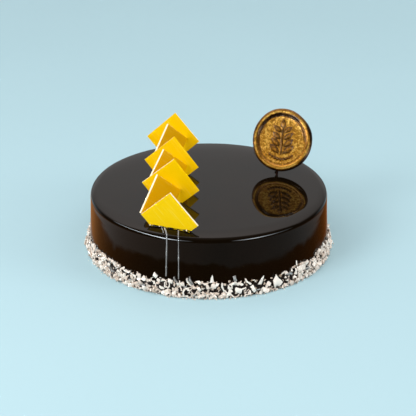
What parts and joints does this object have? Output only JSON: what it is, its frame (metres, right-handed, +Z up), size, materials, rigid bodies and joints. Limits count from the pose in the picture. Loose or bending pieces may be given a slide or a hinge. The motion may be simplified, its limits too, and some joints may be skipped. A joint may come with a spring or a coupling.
{
  "type": "chocolate truffle cake",
  "caption": "Round dark-glazed truffle cake with white chocolate crumbs round its foot, a zigzag row of yellow chocolate squares and a gold medallion on a pick.",
  "frame": {"origin": "centre of the cake's flat base", "axes": "+Z up, -Y towards the front, where the row of squares starts at the rim"},
  "size_m": [0.2044, 0.2035, 0.1016],
  "materials": {
    "dark_glaze": "mirror gloss",
    "white_crumb": "matt",
    "yellow_chocolate": "satin",
    "gold": "burnished",
    "dark_pick": "satin"
  },
  "bodies": {
    "root": {"glazed_cake": "dark_glaze", "crumb_ring": "white_crumb", "chocolate_square_1": "yellow_chocolate", "chocolate_square_2": "yellow_chocolate", "chocolate_square_3": "yellow_chocolate", "chocolate_square_4": "yellow_chocolate", "chocolate_square_5": "yellow_chocolate", "chocolate_square_6": "yellow_chocolate", "chocolate_square_7": "yellow_chocolate", "gold_seal": "gold", "seal_pick": "dark_pick"}
  },
  "joints": []
}
